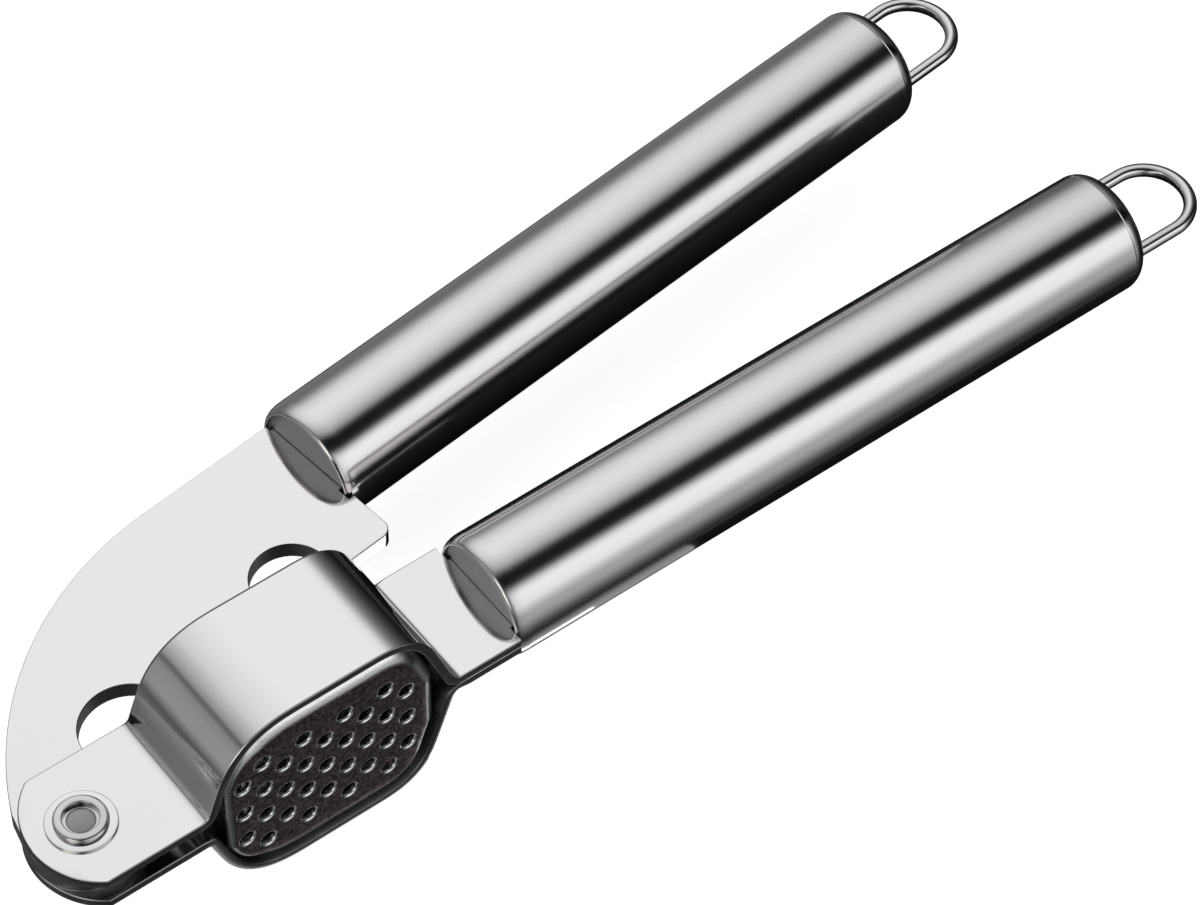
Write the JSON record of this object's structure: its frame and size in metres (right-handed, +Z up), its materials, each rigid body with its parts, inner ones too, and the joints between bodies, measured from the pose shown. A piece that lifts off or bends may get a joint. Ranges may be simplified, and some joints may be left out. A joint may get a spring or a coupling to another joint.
{
  "type": "garlic press",
  "caption": "Hand garlic press with a folded sheet basket, perforated sieve, curved lever plate with a hinged press head, and round tube handles with wire hanging loops.",
  "frame": {"origin": "middle of the flat outer face of the rear basket wall, on which the press lies", "axes": "+X from the pivot along the lower handle to its hanging loop, +Y from the sieve towards the upper handle, +Z up along the pivot rivet"},
  "size_m": [0.1982, 0.0642, 0.033],
  "materials": {
    "polished_plate": "mirror-polished stainless sheet with dark cut edges",
    "satin_tube": "finely brushed stainless tube",
    "cap_steel": "satin stainless disc",
    "sieve_steel": "drawn stainless dish, dull inside with bright hole edges",
    "loop_wire": "polished stainless wire",
    "rivet_steel": "turned stainless",
    "head_steel": "satin stainless plate"
  },
  "bodies": {
    "frame": {"front_side_plate": "polished_plate", "rear_side_plate": "polished_plate", "sieve_plate": "sieve_steel", "rivet_barrel": "rivet_steel", "rivet_core": "rivet_steel", "front_rivet_washer": "polished_plate", "rear_rivet_washer": "polished_plate", "lower_handle_tube": "satin_tube", "lower_front_cap": "cap_steel", "lower_end_cap": "satin_tube", "lower_hanging_loop": "loop_wire"},
    "lever": {"crescent_plate": "polished_plate", "upper_handle_tube": "satin_tube", "upper_front_cap": "cap_steel", "upper_end_cap": "satin_tube", "upper_hanging_loop": "loop_wire"},
    "press_head": {"press_plate": "head_steel", "head_bracket": "head_steel", "head_pin": "rivet_steel"}
  },
  "joints": [
    {"name": "lever_hinge", "type": "hinge", "parent": "frame", "child": "lever", "pos_m": [-0.03305, 0, 0.0165], "axis": [0, 0, 1], "range_deg": [-5.2, 95]},
    {"name": "head_tilt", "type": "hinge", "parent": "lever", "child": "press_head", "pos_m": [-0.00037, 0.00467, 0.0165], "axis": [0, 0, 1], "range_deg": [-24, 1.4]}
  ],
  "couplings": [
    {"joint": "head_tilt", "follows": "lever_hinge", "ratio": -0.25}
  ]
}
